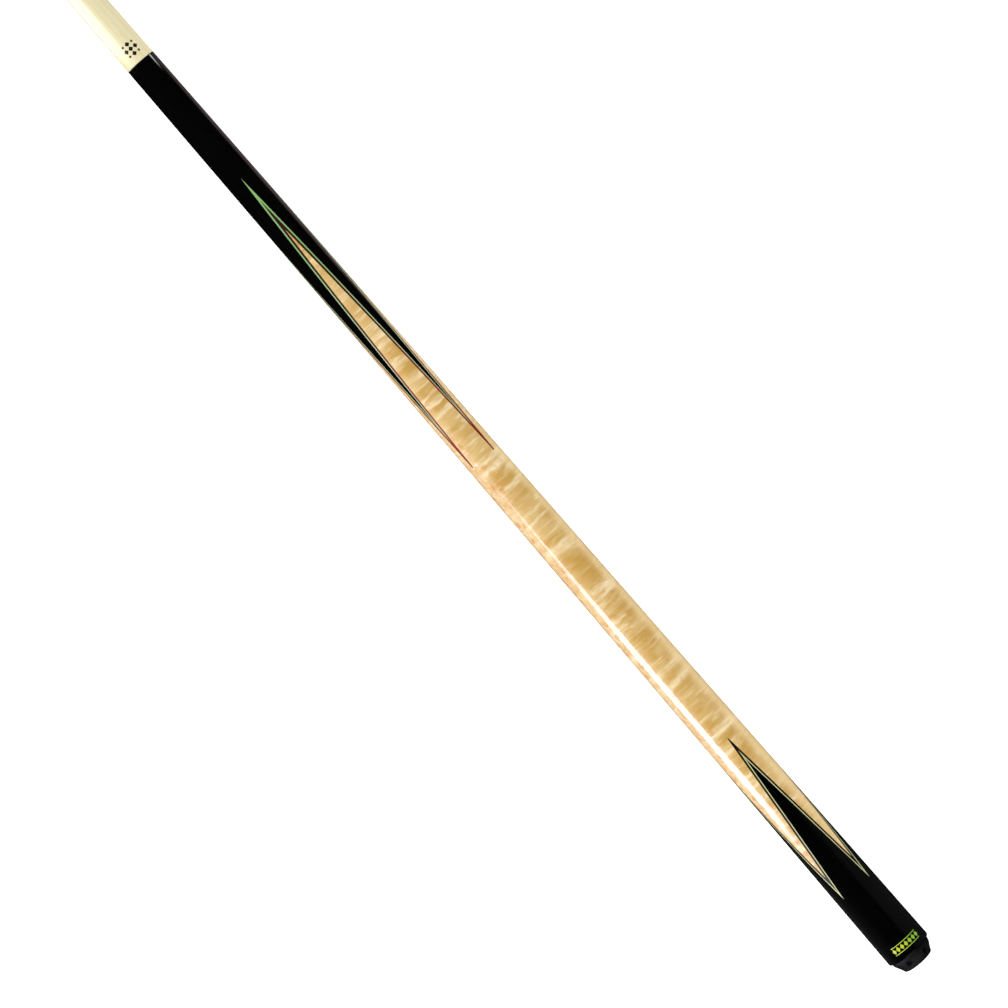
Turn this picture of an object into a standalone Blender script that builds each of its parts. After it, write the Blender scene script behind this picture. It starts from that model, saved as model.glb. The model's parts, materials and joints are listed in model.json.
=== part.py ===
"""A two-piece pool cue: a spliced butt and a maple shaft that screws onto its joint pin.

The cue lies on its side as it would on a table. The cue line is a frame of its own: its
origin is the middle of the joint face, and +X runs along the cue's axis to the tip. Every
piece is modelled in that frame, and one empty sets the frame down on the table, so that the
rim of the butt and the end of the shaft both touch the ground.

Stations, called s, are distances from the joint face towards the bumper, so x = -s.
"""

import math
from collections import namedtuple

import bmesh
import bpy

MM = 0.001
ROOT2 = math.sqrt(2)

# Overall sizes
SHAFT_LENGTH = 736.6 * MM      # joint face to the top of the tip
BUTT_LENGTH = 736.6 * MM       # joint face to the flat end of the bumper
BUMPER_LENGTH = 9.4 * MM
JOINT_RADIUS = 10.0 * MM
BUTT_RADIUS = 15.5 * MM        # at the thick end of the wood
WAIST = 0.3 * MM               # how much slimmer than a straight taper the butt is midway
TIP_RADIUS = 6.5 * MM
END_BEVEL = 0.8 * MM           # on the rim of the wood

# Fits
SEAT = 0.1 * MM                # between pieces that rest against each other
GLUE = 0.06 * MM               # a glue line of the splices
FINE_EDGE = 0.3 * MM           # half the thickness at which a prong's blade is trimmed

# Splices: each has four points, and its layers meet on faces that close in a valley.
# A run says how far from the axis a point's bottom line lies, so far before its valley.
FORE_RUN = ((0.0, 0.0), (200.0 * MM, 11.2 * MM))
FORE_TURN = math.radians(-1.4)
FORE_VALLEYS = (279.4 * MM, 300.7 * MM, 328.5 * MM)
SLEEVE_RUN = ((0.0, 0.0), (30.0 * MM, 5.0 * MM), (65.0 * MM, 9.7 * MM), (105.0 * MM, 14.0 * MM))
SLEEVE_TURN = math.radians(3.7)
SLEEVE_VALLEYS = (652.5 * MM, 662.2 * MM, 672.4 * MM)
POINTS = 4
TIP_PASSES = 12                # each pass brings a point's tip several times closer

# Screw threads, all 5/16 inch with 60 degree flanks; steps are the flat sides of one turn
Thread = namedtuple("Thread", "pitch minor steps")
MAJOR = 3.97 * MM
CREST = 0.1 * MM               # half the flat on top of a thread
FLANK = math.radians(30)
JOINT_THREAD = Thread(25.4 / 14 * MM, 2.86 * MM, 12)
END_THREAD = Thread(25.4 / 18 * MM, 3.10 * MM, 8)
THREAD_FIT = 0.16 * MM         # between the flanks of the pin and of the insert
PIN_REACH = 25.4 * MM          # on each side of the joint face
INSERT_LENGTH = 19.3 * MM
INSERT_RADIUS = 5.7 * MM
INSERT_MINOR = 3.2 * MM

# Shaft, ferrule and tip
TIP_HEIGHT = 5.5 * MM
PAD_HEIGHT = 1.0 * MM
FERRULE_LENGTH = 25.4 * MM
TENON_RADIUS = 3.9 * MM
TENON_LENGTH = 20.0 * MM
STRAIGHT_TAPER = 300.0 * MM    # the last stretch of the shaft, nearly one thickness

# Butt end
BORE_RADIUS = 4.25 * MM
BORE_DEPTH = 51.0 * MM
WEIGHT_LENGTH = 25.4 * MM
HEAD_RADIUS = 7.2 * MM
HEAD_HEIGHT = 4.2 * MM
RUBBER_UNDER_HEAD = 4.4 * MM
SCREW_LENGTH = 19.05 * MM
DIMPLES = 6
DIMPLE_TURN = math.radians(6.5)

SIDES = 48                     # flat sides of the turned wood
BUMPER_SIDES = 36
TIP_SIDES = 32
HEAD_SIDES = 20
TAPER_SPAN = 110.0 * MM        # longest stretch of the butt's side made as one cone
REACH = 40.0 * MM              # how far a splice cutter extends from the axis

WOOD_LENGTH = BUTT_LENGTH - BUMPER_LENGTH


def butt_radius(s):
    """The butt's taper, a little hollow midway."""
    share = s / WOOD_LENGTH
    straight = JOINT_RADIUS + (BUTT_RADIUS - JOINT_RADIUS) * share
    return straight - WAIST * 4 * share * (1 - share)


def taper(front, back):
    """Profile points down the butt's side between two stations."""
    spans = math.ceil((back - front) / TAPER_SPAN)
    stations = [front + (back - front) * i / spans for i in range(spans + 1)]
    return [(-s, butt_radius(s)) for s in stations]


# Scene and helpers

for old in list(bpy.data.objects):
    bpy.data.objects.remove(old)

parts = bpy.data.collections.new("pool_cue")
cutters = bpy.data.collections.new("cutters")
for group in (parts, cutters):
    bpy.context.scene.collection.children.link(group)

cue_line = bpy.data.objects.new("cue_line", None)
parts.objects.link(cue_line)


def material(name, colour, roughness, metallic=0.0):
    made = bpy.data.materials.new(name)
    made.use_nodes = True
    shader = made.node_tree.nodes["Principled BSDF"]
    shader.inputs["Base Color"].default_value = (*colour, 1.0)
    shader.inputs["Roughness"].default_value = roughness
    shader.inputs["Metallic"].default_value = metallic
    made.diffuse_color = (*colour, 1.0)
    return made


def add_piece(name, mesh, finish, turn=0.0):
    """One sub-part on the cue line, turned about it."""
    piece = bpy.data.objects.new(name, mesh)
    parts.objects.link(piece)
    piece.parent = cue_line
    piece.rotation_euler.x = turn
    mesh.materials.clear()
    mesh.materials.append(finish)
    return piece


def add_cutter(name, mesh, turn=0.0, at=(0.0, 0.0, 0.0)):
    cutter = bpy.data.objects.new(name, mesh)
    cutters.objects.link(cutter)
    cutter.parent = cue_line
    cutter.rotation_euler.x = turn
    cutter.location = at
    cutter.hide_render = True
    cutter.display_type = "WIRE"
    return cutter


def smooth(piece, angle=30):
    piece.data.shade_smooth()
    piece.data.set_sharp_from_angle(angle=math.radians(angle))


def combine(piece, tool, operation):
    step = piece.modifiers.new(tool.name, "BOOLEAN")
    step.operation = operation
    step.solver = "EXACT"
    step.object = tool


def profile_mesh(name, profile, closed=False):
    """An outline of (x, radius) points, from the +X end down the outer side."""
    mesh = bpy.data.meshes.new(name)
    count = len(profile)
    edges = [(i, i + 1) for i in range(count - 1)]
    if closed:
        edges.append((count - 1, 0))
    mesh.from_pydata([(x, radius, 0.0) for x, radius in profile], edges, [])
    return mesh


def spin(piece, sides):
    turn = piece.modifiers.new("turned", "SCREW")
    turn.axis = "X"
    turn.steps = sides
    turn.render_steps = sides
    turn.use_merge_vertices = True
    turn.merge_threshold = 0.000001
    turn.use_smooth_shade = True


def turned(name, profile, finish, sides=SIDES, closed=False):
    piece = add_piece(name, profile_mesh(name, profile, closed), finish)
    spin(piece, sides)
    return piece


def evaluated_mesh(piece):
    bpy.context.view_layer.update()
    graph = bpy.context.evaluated_depsgraph_get()
    return bpy.data.meshes.new_from_object(piece.evaluated_get(graph))


def hull_mesh(name, corners):
    shape = bmesh.new()
    for corner in corners:
        shape.verts.new(corner)
    bmesh.ops.convex_hull(shape, input=shape.verts)
    bmesh.ops.recalc_face_normals(shape, faces=shape.faces)
    mesh = bpy.data.meshes.new(name)
    shape.to_mesh(mesh)
    shape.free()
    return mesh


# Splice shapes, drawn for the point that faces +Z

def interpolate(pairs, x):
    """y at x on a line through (x, y) pairs; its last stretch runs on."""
    for (x0, y0), (x1, y1) in zip(pairs, pairs[1:]):
        if x <= x1:
            break
    return y0 + (y1 - y0) * (x - x0) / (x1 - x0)


def inverse(pairs):
    return [(y, x) for x, y in pairs]


def valley_after_glue(valley, run):
    """Where a layer's own valley lies, one glue line inside its neighbour's."""
    length, depth = run[-1]
    return valley + GLUE * ROOT2 * length / depth


def blade_end(valley, run):
    """Where a blade that thins out towards its valley is trimmed."""
    return valley - interpolate(inverse(run), FINE_EDGE * ROOT2)


def point_tip(valley, run):
    """The station where a point's bottom line comes out of the tapered wood."""
    s = valley
    for _ in range(TIP_PASSES):
        s = valley - interpolate(inverse(run), butt_radius(s))
    return s


def sections(valley, run, front, back):
    """The stations of a cutter: its ends, and the bends of the run between them."""
    bends = [valley - away for away, _ in run[:-1]]
    return [front] + sorted(s for s in bends if front < s < back) + [back]


def groove_mesh(name, valley, run, front, back, lift=0.0):
    """A V groove of 90 degrees whose bottom rises from the axis at the valley."""
    shape = bmesh.new()
    rings = []
    for s in sections(valley, run, front, back):
        depth = max(interpolate(run, valley - s), 0.0) + lift
        corners = ((-s, 0.0, depth), (-s, REACH - depth, REACH), (-s, depth - REACH, REACH))
        rings.append([shape.verts.new(corner) for corner in corners])
    for here, following in zip(rings, rings[1:]):
        for j in range(3):
            k = (j + 1) % 3
            shape.faces.new((here[j], here[k], following[k], following[j]))
    shape.faces.new(rings[0])
    shape.faces.new(rings[-1])
    bmesh.ops.recalc_face_normals(shape, faces=shape.faces)
    mesh = bpy.data.meshes.new(name)
    shape.to_mesh(mesh)
    shape.free()
    return mesh


def blade_mesh(name, valley, run, front):
    """The wedge between two neighbouring points, which thins to an edge at the valley."""
    across = (0.0, 1 / ROOT2, -1 / ROOT2)
    along = (0.0, 1 / ROOT2, 1 / ROOT2)
    corners = []
    for s in sections(valley, run, front, valley):
        half = interpolate(run, valley - s) / ROOT2
        for side in (-REACH, REACH):
            for offset in (-half, half):
                corners.append((-s, across[1] * offset + along[1] * side,
                                across[2] * offset + along[2] * side))
    return hull_mesh(name, sorted(set(corners)))


def cut_grooves(piece, name, valley, run, turn, back):
    """Cuts the four V grooves that the next wood's prongs are glued into."""
    front = point_tip(valley, run) - 10 * MM
    mesh = groove_mesh(name, valley, run, front, back)
    for k in range(POINTS):
        cutter = add_cutter(f"{name}_{k + 1}", mesh, turn + k * math.tau / POINTS)
        combine(piece, cutter, "DIFFERENCE")


def cut_prongs(piece, name, valley, run, turn):
    """Cuts the crossing blades that leave four pointed prongs."""
    valley = valley_after_glue(valley, run)
    front = point_tip(valley, run) - 20 * MM
    mesh = blade_mesh(name, valley, run, front)
    for k in range(POINTS // 2):
        cutter = add_cutter(f"{name}_{k + 1}", mesh, turn + k * math.tau / POINTS)
        combine(piece, cutter, "DIFFERENCE")


def veneers(name, outer, inner, run, turn, finish):
    """Four thin V-shaped sheets, one round each point."""
    outer = valley_after_glue(outer, run)
    front = point_tip(outer, run) - 2 * MM
    back = blade_end(inner, run)
    rod = turned(name, [(-front, 0)] + taper(front, back) + [(-back, 0)], finish)
    outside = groove_mesh("outside", outer, run, front - 5 * MM, back + 5 * MM,
                          lift=GLUE / ROOT2)
    inside = groove_mesh("inside", inner, run, front - 5 * MM, back + 1 * MM)
    tools = [add_cutter("outside", outside), add_cutter("inside", inside)]
    combine(rod, tools[0], "INTERSECT")
    combine(rod, tools[1], "DIFFERENCE")
    sheet = evaluated_mesh(rod)
    for spare in [rod] + tools:
        bpy.data.objects.remove(spare)
    sheet.name = name
    for k in range(POINTS):
        smooth(add_piece(f"{name}_{k + 1}", sheet, finish, turn + k * math.tau / POINTS))


# Screw threads

def ridge_mesh(name, thread, first_turn, last_turn, base, fit=0.0):
    """A closed helical ridge, right-handed about +X; turn n crosses +Y at n pitches."""
    shape = bmesh.new()
    top = MAJOR + 1.5 * fit
    wider = fit / math.cos(FLANK)
    rings = []
    for i in range(round((last_turn - first_turn) * thread.steps) + 1):
        turns = first_turn + i / thread.steps
        angle = turns * math.tau
        ring = []
        for radius, side in ((base, -1), (top, -1), (top, 1), (base, 1)):
            half = CREST + (MAJOR - radius) * math.tan(FLANK) + wider
            ring.append(shape.verts.new((turns * thread.pitch + side * half,
                                         radius * math.cos(angle),
                                         radius * math.sin(angle))))
        rings.append(ring)
    for here, following in zip(rings, rings[1:]):
        for j in range(4):
            k = (j + 1) % 4
            shape.faces.new((here[j], here[k], following[k], following[j]))
    shape.faces.new(rings[0])
    shape.faces.new(rings[-1])
    bmesh.ops.recalc_face_normals(shape, faces=shape.faces)
    mesh = bpy.data.meshes.new(name)
    shape.to_mesh(mesh)
    shape.free()
    return mesh


def add_thread(piece, name, thread, first, last):
    """Joins a thread to a rod between two places along the cue line."""
    ridge = ridge_mesh(name, thread, first / thread.pitch, last / thread.pitch,
                       thread.minor - 0.3 * MM)
    combine(piece, add_cutter(name, ridge), "UNION")


def hexagon_cutter(name, x, across_flats, depth):
    """A hexagonal socket, open towards the bumper end."""
    shape = bmesh.new()
    bmesh.ops.create_cone(shape, cap_ends=True, segments=6, depth=depth,
                          radius1=across_flats / math.sqrt(3),
                          radius2=across_flats / math.sqrt(3))
    mesh = bpy.data.meshes.new(name)
    shape.to_mesh(mesh)
    shape.free()
    cutter = add_cutter(name, mesh, at=(x, 0.0, 0.0))
    cutter.rotation_euler = (0.0, math.pi / 2, 0.0)
    return cutter


# Finishes

ebony = material("black_forearm", (0.008, 0.008, 0.008), 0.18)
sleeve_black = material("black_sleeve", (0.010, 0.010, 0.011), 0.18)
green = material("green_veneer", (0.26, 0.42, 0.16), 0.3)
dark = material("dark_veneer", (0.030, 0.010, 0.010), 0.3)
cream = material("cream_veneer", (0.60, 0.66, 0.34), 0.3)
curly_maple = material("curly_maple", (0.58, 0.41, 0.17), 0.25)
shaft_maple = material("shaft_maple", (0.80, 0.68, 0.42), 0.35)
steel = material("steel", (0.62, 0.62, 0.63), 0.25, 1.0)
brass = material("brass", (0.72, 0.53, 0.24), 0.3, 1.0)
rubber = material("rubber", (0.014, 0.014, 0.015), 0.7)
ivory_white = material("ferrule_white", (0.86, 0.85, 0.80), 0.3)
fibre = material("black_fibre", (0.02, 0.02, 0.02), 0.6)
leather = material("leather", (0.22, 0.13, 0.07), 0.8)


# Butt half

def make_forearm():
    back = blade_end(FORE_VALLEYS[0], FORE_RUN)
    bore_end = PIN_REACH + 0.8 * MM
    bore = MAJOR + 0.3 * MM
    profile = [(-bore_end, 0), (-bore_end, bore), (0, bore)] + taper(0, back)
    forearm = turned("forearm", profile + [(-back, 0)], ebony)
    cut_grooves(forearm, "fore_groove", FORE_VALLEYS[0], FORE_RUN, FORE_TURN,
                back + 5 * MM)


def make_handle():
    front = point_tip(FORE_VALLEYS[2], FORE_RUN) - 5 * MM
    back = blade_end(SLEEVE_VALLEYS[0], SLEEVE_RUN)
    profile = [(-front, 0)] + taper(front, back) + [(-back, 0)]
    handle = turned("handle", profile, curly_maple)
    cut_prongs(handle, "handle_blade", FORE_VALLEYS[2], FORE_RUN, FORE_TURN)
    cut_grooves(handle, "handle_groove", SLEEVE_VALLEYS[0], SLEEVE_RUN, SLEEVE_TURN,
                back + 5 * MM)


def make_butt_sleeve():
    front = point_tip(SLEEVE_VALLEYS[2], SLEEVE_RUN) - 5 * MM
    rim = butt_radius(WOOD_LENGTH)
    bore_end = WOOD_LENGTH - BORE_DEPTH
    profile = [(-front, 0)] + taper(front, WOOD_LENGTH - END_BEVEL)
    profile += [(-WOOD_LENGTH, rim - END_BEVEL), (-WOOD_LENGTH, BORE_RADIUS),
                (-bore_end, BORE_RADIUS), (-bore_end, 0)]
    sleeve = turned("butt_sleeve", profile, sleeve_black)
    cut_prongs(sleeve, "sleeve_blade", SLEEVE_VALLEYS[2], SLEEVE_RUN, SLEEVE_TURN)


def make_joint_pin():
    """Threaded towards the tip, grooved for glue where it is set in the forearm."""
    grooves = 4
    groove_pitch = 5.2 * MM
    shank = MAJOR - 0.05 * MM
    chamfer = 0.7 * MM
    core = JOINT_THREAD.minor
    profile = [(PIN_REACH, 0), (PIN_REACH, core - chamfer), (PIN_REACH - chamfer, core),
               (-0.4 * MM, core), (-0.4 * MM, shank)]
    for k in range(grooves):
        start = -(3.0 * MM + k * groove_pitch)
        profile += [(start, shank), (start - 0.6 * MM, shank - 0.6 * MM),
                    (start - 2.0 * MM, shank - 0.6 * MM), (start - 2.6 * MM, shank)]
    profile += [(-PIN_REACH, shank), (-PIN_REACH, 0)]
    pin = turned("joint_pin", profile, steel, sides=JOINT_THREAD.steps)
    add_thread(pin, "pin_thread", JOINT_THREAD, 1.2 * MM, PIN_REACH - 1.2 * MM)


def make_weight_bolt():
    start = WOOD_LENGTH - BORE_DEPTH + 0.6 * MM
    end = start + WEIGHT_LENGTH
    chamfer = 0.6 * MM
    core = END_THREAD.minor
    bolt = turned("weight_bolt", [
        (-start, 0), (-start, core - chamfer), (-start - chamfer, core),
        (-end + chamfer, core), (-end, core - chamfer), (-end, 0)],
        steel, sides=END_THREAD.steps)
    add_thread(bolt, "weight_thread", END_THREAD, -end + 1.4 * MM, -start - 1.4 * MM)
    combine(bolt, hexagon_cutter("weight_socket", -end, 4.0 * MM, 8.0 * MM), "DIFFERENCE")


def make_bumper():
    face = WOOD_LENGTH + SEAT
    seat = WOOD_LENGTH + RUBBER_UNDER_HEAD
    well = HEAD_RADIUS + 0.4 * MM
    hole = MAJOR + 0.3 * MM
    shoulder = ((13.9, 1.8), (13.4, 3.7), (12.6, 5.2), (11.2, 7.6), (10.8, 8.9))
    profile = [(-face, hole), (-face, 13.6 * MM), (-face - 0.3 * MM, 13.9 * MM)]
    profile += [(-WOOD_LENGTH - s * MM, r * MM) for r, s in shoulder]
    profile += [(-BUTT_LENGTH, 10.4 * MM), (-BUTT_LENGTH, well), (-seat, well),
                (-seat, hole)]
    bumper = turned("bumper", profile, rubber, sides=BUMPER_SIDES, closed=True)
    shape = bmesh.new()
    bmesh.ops.create_cone(shape, cap_ends=True, segments=12, radius1=2.0 * MM,
                          radius2=2.0 * MM, depth=2.6 * MM)
    dimple = bpy.data.meshes.new("dimple")
    shape.to_mesh(dimple)
    shape.free()
    x = -WOOD_LENGTH - 5.7 * MM
    for k in range(DIMPLES):
        angle = DIMPLE_TURN + (k + 0.5) * math.tau / DIMPLES
        at = (x, -12.2 * MM * math.sin(angle), 12.2 * MM * math.cos(angle))
        combine(bumper, add_cutter(f"dimple_{k + 1}", dimple, angle, at), "DIFFERENCE")


def make_bumper_screw():
    seat = WOOD_LENGTH + RUBBER_UNDER_HEAD + SEAT
    top = seat + HEAD_HEIGHT
    end = seat - SCREW_LENGTH
    chamfer = 0.6 * MM
    core = END_THREAD.minor
    screw = turned("bumper_screw", [
        (-end, 0), (-end, core - chamfer), (-end - chamfer, core), (-seat, core),
        (-seat, HEAD_RADIUS), (-seat - 0.8 * MM, HEAD_RADIUS),
        (-seat - 2.6 * MM, 0.86 * HEAD_RADIUS), (-top, 0.55 * HEAD_RADIUS), (-top, 0)],
        steel, sides=HEAD_SIDES)
    add_thread(screw, "end_screw_thread", END_THREAD, -seat + 2.0 * MM, -end - 1.4 * MM)
    combine(screw, hexagon_cutter("screw_socket", -top, 4.8 * MM, 5.4 * MM), "DIFFERENCE")


# Shaft half

TIP_BASE = SHAFT_LENGTH - TIP_HEIGHT
PAD_BASE = TIP_BASE - SEAT - PAD_HEIGHT
FERRULE_TOP = PAD_BASE - SEAT
FERRULE_BASE = FERRULE_TOP - FERRULE_LENGTH
SHOULDER = FERRULE_BASE - SEAT


def make_shaft():
    tenon_end = SHOULDER + TENON_LENGTH
    socket = INSERT_RADIUS + SEAT
    relief = MAJOR + 0.3 * MM
    pocket = SEAT + INSERT_LENGTH + 2 * SEAT
    bore_end = PIN_REACH + 1.6 * MM
    turned("shaft", [
        (tenon_end, 0), (tenon_end, TENON_RADIUS), (SHOULDER, TENON_RADIUS),
        (SHOULDER, TIP_RADIUS), (SHOULDER - STRAIGHT_TAPER, TIP_RADIUS + 0.15 * MM),
        (SEAT, JOINT_RADIUS), (SEAT, socket), (pocket, socket), (pocket, relief),
        (bore_end, relief), (bore_end, 0)], shaft_maple)


def make_shaft_insert():
    front = SEAT + INSERT_LENGTH
    insert = turned("shaft_insert", [
        (front, INSERT_MINOR), (front, INSERT_RADIUS), (2 * SEAT, INSERT_RADIUS),
        (2 * SEAT, INSERT_MINOR)], brass, sides=JOINT_THREAD.steps, closed=True)
    ridge = ridge_mesh("insert_thread", JOINT_THREAD, -1.0,
                       front / JOINT_THREAD.pitch + 1.0, INSERT_MINOR - 0.2 * MM,
                       fit=THREAD_FIT)
    combine(insert, add_cutter("insert_thread", ridge), "DIFFERENCE")


def make_ferrule():
    hole = TENON_RADIUS + SEAT
    hole_end = SHOULDER + TENON_LENGTH + SEAT
    turned("ferrule", [
        (FERRULE_TOP, 0), (FERRULE_TOP, TIP_RADIUS), (FERRULE_BASE, TIP_RADIUS),
        (FERRULE_BASE, hole), (hole_end, hole), (hole_end, 0)], ivory_white)


def make_tip():
    turned("tip_pad", [
        (PAD_BASE + PAD_HEIGHT, 0), (PAD_BASE + PAD_HEIGHT, TIP_RADIUS),
        (PAD_BASE, TIP_RADIUS), (PAD_BASE, 0)], fibre)
    dome_base = 2.2 * MM
    dome_steps = 4
    profile = []
    for k in range(dome_steps + 1):
        angle = math.radians(90) * k / dome_steps
        profile.append((TIP_BASE + dome_base + (TIP_HEIGHT - dome_base) * math.cos(angle),
                        TIP_RADIUS * math.sin(angle)))
    profile += [(TIP_BASE, TIP_RADIUS - 0.1 * MM), (TIP_BASE, 0)]
    turned("tip", profile, leather, sides=TIP_SIDES)


def lay_down():
    """Sets the cue line so that the butt's rim and the shaft's thin end touch the ground."""
    rim = WOOD_LENGTH - END_BEVEL
    lean = math.atan((BUTT_RADIUS - TIP_RADIUS) / (rim + FERRULE_TOP))
    height = FERRULE_TOP * math.sin(lean) + TIP_RADIUS * math.cos(lean)
    cue_line.rotation_euler = (0.0, lean, 0.0)
    cue_line.location = (0.0, 0.0, height)


make_forearm()
veneers("fore_veneer_green", FORE_VALLEYS[0], FORE_VALLEYS[1], FORE_RUN, FORE_TURN, green)
veneers("fore_veneer_dark", FORE_VALLEYS[1], FORE_VALLEYS[2], FORE_RUN, FORE_TURN, dark)
make_handle()
veneers("sleeve_veneer_dark", SLEEVE_VALLEYS[0], SLEEVE_VALLEYS[1], SLEEVE_RUN,
        SLEEVE_TURN, dark)
veneers("sleeve_veneer_light", SLEEVE_VALLEYS[1], SLEEVE_VALLEYS[2], SLEEVE_RUN,
        SLEEVE_TURN, cream)
make_butt_sleeve()
make_joint_pin()
make_weight_bolt()
make_bumper()
make_bumper_screw()
make_shaft()
make_shaft_insert()
make_ferrule()
make_tip()
lay_down()
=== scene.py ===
"""Looks of the pool cue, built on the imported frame.

Everything is modelled on the cue line: its origin is the middle of the joint face, +X runs along
the axis to the tip, +Y across, and Z completes it. A station s is a distance from the joint face
towards the bumper, so x = -s. The frame's own screw joint says where that line lies.
"""

import json
import math
from collections import namedtuple

import bmesh
import bpy
from mathutils import Matrix, Vector


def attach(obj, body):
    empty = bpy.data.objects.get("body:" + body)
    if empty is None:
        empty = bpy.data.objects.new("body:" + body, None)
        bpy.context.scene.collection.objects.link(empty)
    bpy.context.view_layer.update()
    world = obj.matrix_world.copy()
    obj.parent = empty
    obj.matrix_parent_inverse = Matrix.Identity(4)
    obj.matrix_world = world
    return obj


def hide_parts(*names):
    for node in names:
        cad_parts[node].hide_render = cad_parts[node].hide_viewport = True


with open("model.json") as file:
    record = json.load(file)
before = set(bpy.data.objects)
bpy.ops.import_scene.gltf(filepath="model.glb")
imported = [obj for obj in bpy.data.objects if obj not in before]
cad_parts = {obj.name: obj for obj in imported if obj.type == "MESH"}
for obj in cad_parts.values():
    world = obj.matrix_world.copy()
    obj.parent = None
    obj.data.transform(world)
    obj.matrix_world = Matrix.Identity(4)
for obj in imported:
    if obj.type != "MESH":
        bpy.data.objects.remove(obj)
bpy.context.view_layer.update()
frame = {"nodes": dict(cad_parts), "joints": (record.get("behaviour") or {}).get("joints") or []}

MM = 0.001
INCH = 25.4 * MM
ROOT2 = math.sqrt(2)
TURN = math.tau

# The cue line, from the joint that unscrews the shaft
screw_joint = next(j for j in frame["joints"] if j["name"] == "shaft_turn")
ALONG = Vector(screw_joint["axis"]).normalized()
ACROSS = Vector((0.0, 1.0, 0.0))
OVER = ALONG.cross(ACROSS)
CUE = Matrix((ALONG, ACROSS, OVER)).transposed().to_4x4()
CUE.translation = Vector(screw_joint["pos_m"])


def extent(node):
    """Lowest and highest x of a CAD node on the cue line, and its largest radius."""
    back = CUE.inverted()
    points = [back @ v.co for v in frame["nodes"][node].data.vertices]
    xs = [p.x for p in points]
    return min(xs), max(xs), max(math.hypot(p.y, p.z) for p in points)


# Driving dimensions, read off the frame. Pairs are the lowest and the highest x
WOOD = -extent("butt_sleeve")[0]                # joint face to the end of the wood
BUTT = -extent("bumper")[0]                     # joint face to the end of the bumper
PIN = extent("joint_pin")[1]                    # joint face to the end of the joint pin
TENON = extent("shaft")[1]                      # joint face to the end of the shaft's tenon
BUTT_R = extent("butt_sleeve")[2]
JOINT_R = extent("shaft")[2]
TIP_R = extent("ferrule")[2]
FERRULE = extent("ferrule")[:2]
PAD = extent("tip_pad")[:2]
TIP = extent("tip")[:2]
INSERT = extent("shaft_insert")
WEIGHT = extent("weight_bolt")[:2]
SCREW = extent("bumper_screw")

# Woodwork
WAIST = 0.3 * MM                                # how far the butt's taper curves in
GAP = 0.1 * MM                                  # between two pieces glued together
EASE = 0.15 * MM                                # the fine rounding of a lacquered edge
RIM = 0.8 * MM                                  # the rounding of the butt's rim
BORE = 4.25 * MM
PRO_TAPER = 300 * MM                            # the slim stretch behind the ferrule
TENON_R = 3.9 * MM

# Splices
POINTS = 4
QUARTER = TURN / POINTS                         # a point's share of the way round
BLUNT = 0.3 * MM                                # half the width of a point's blunt tip
STEP = 0.01 * MM                                # across the face of a blunt end
ROW = 3.0 * MM                                  # between two rows of a spliced surface
COLUMNS = 10                                    # across an eighth of the way round
WALL_ROWS = 4                                   # down the side of a point

# Screw threads
JOINT_PITCH = INCH / 14
END_PITCH = INCH / 18
MAJOR = 3.97 * MM                               # outer radius
END_CORE = 3.10 * MM                            # radius at the foot of the finer thread
CREST = 0.1 * MM                                # half the width of a crest
SUNK = 0.1 * MM                                 # how deep a ridge stands in its core
TAN_FLANK, COS_FLANK = math.tan(math.radians(30)), 0.866


def butt_radius(s):
    """The butt's radius at a station: a straight taper that curves in a little."""
    share = min(max(s / WOOD, 0.0), 1.0)
    return JOINT_R + (BUTT_R - JOINT_R) * share - WAIST * 4 * share * (1 - share)


# Meshes

def finish_mesh(name, bm, material, body, nodes=(), sharp=30):
    """Turns a bmesh into a piece on the cue line that rides on a body.

    Edges that bend by more than sharp, in degrees, are shaded as sharp."""
    bmesh.ops.remove_doubles(bm, verts=bm.verts, dist=1e-6)
    bmesh.ops.dissolve_degenerate(bm, edges=bm.edges, dist=1e-7)
    bmesh.ops.recalc_face_normals(bm, faces=bm.faces)
    mesh = bpy.data.meshes.new(name)
    bm.to_mesh(mesh)
    bm.free()
    mesh.shade_smooth()
    mesh.set_sharp_from_angle(angle=math.radians(sharp))
    mesh.materials.append(material)
    piece = bpy.data.objects.new(name, mesh)
    bpy.context.scene.collection.objects.link(piece)
    piece.matrix_world = CUE
    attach(piece, body)
    if nodes:
        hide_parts(*nodes)
    return piece


def add_grid(bm, rows, closed=False):
    """Quads between rows of points; a closed grid joins each row's ends."""
    made = [[bm.verts.new(p) for p in row] for row in rows]
    for here, following in zip(made, made[1:]):
        count = len(here)
        for j in range(count if closed else count - 1):
            k = (j + 1) % count
            bm.faces.new((here[j], here[k], following[k], following[j]))


def ring(x, radius, sides, bend=None):
    """Points round the cue line, from +Y towards +Z."""
    points = []
    for j in range(sides):
        angle = TURN * j / sides
        px, pr = bend(x, radius, angle) if bend else (x, radius)
        points.append((px, pr * math.cos(angle), pr * math.sin(angle)))
    return points


def revolve(bm, profile, sides=96, bend=None):
    """A surface of revolution about the cue line. bend may move each point."""
    add_grid(bm, [ring(x, radius, sides, bend) for x, radius in profile], closed=True)


def finely(profile, step):
    """A profile with extra points, so that no stretch is longer than step."""
    out = [profile[0]]
    for (x0, r0), (x1, r1) in zip(profile, profile[1:]):
        count = max(1, math.ceil(math.hypot(x1 - x0, r1 - r0) / step))
        out += [(x0 + (x1 - x0) * i / count, r0 + (r1 - r0) * i / count)
                for i in range(1, count + 1)]
    return out


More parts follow.
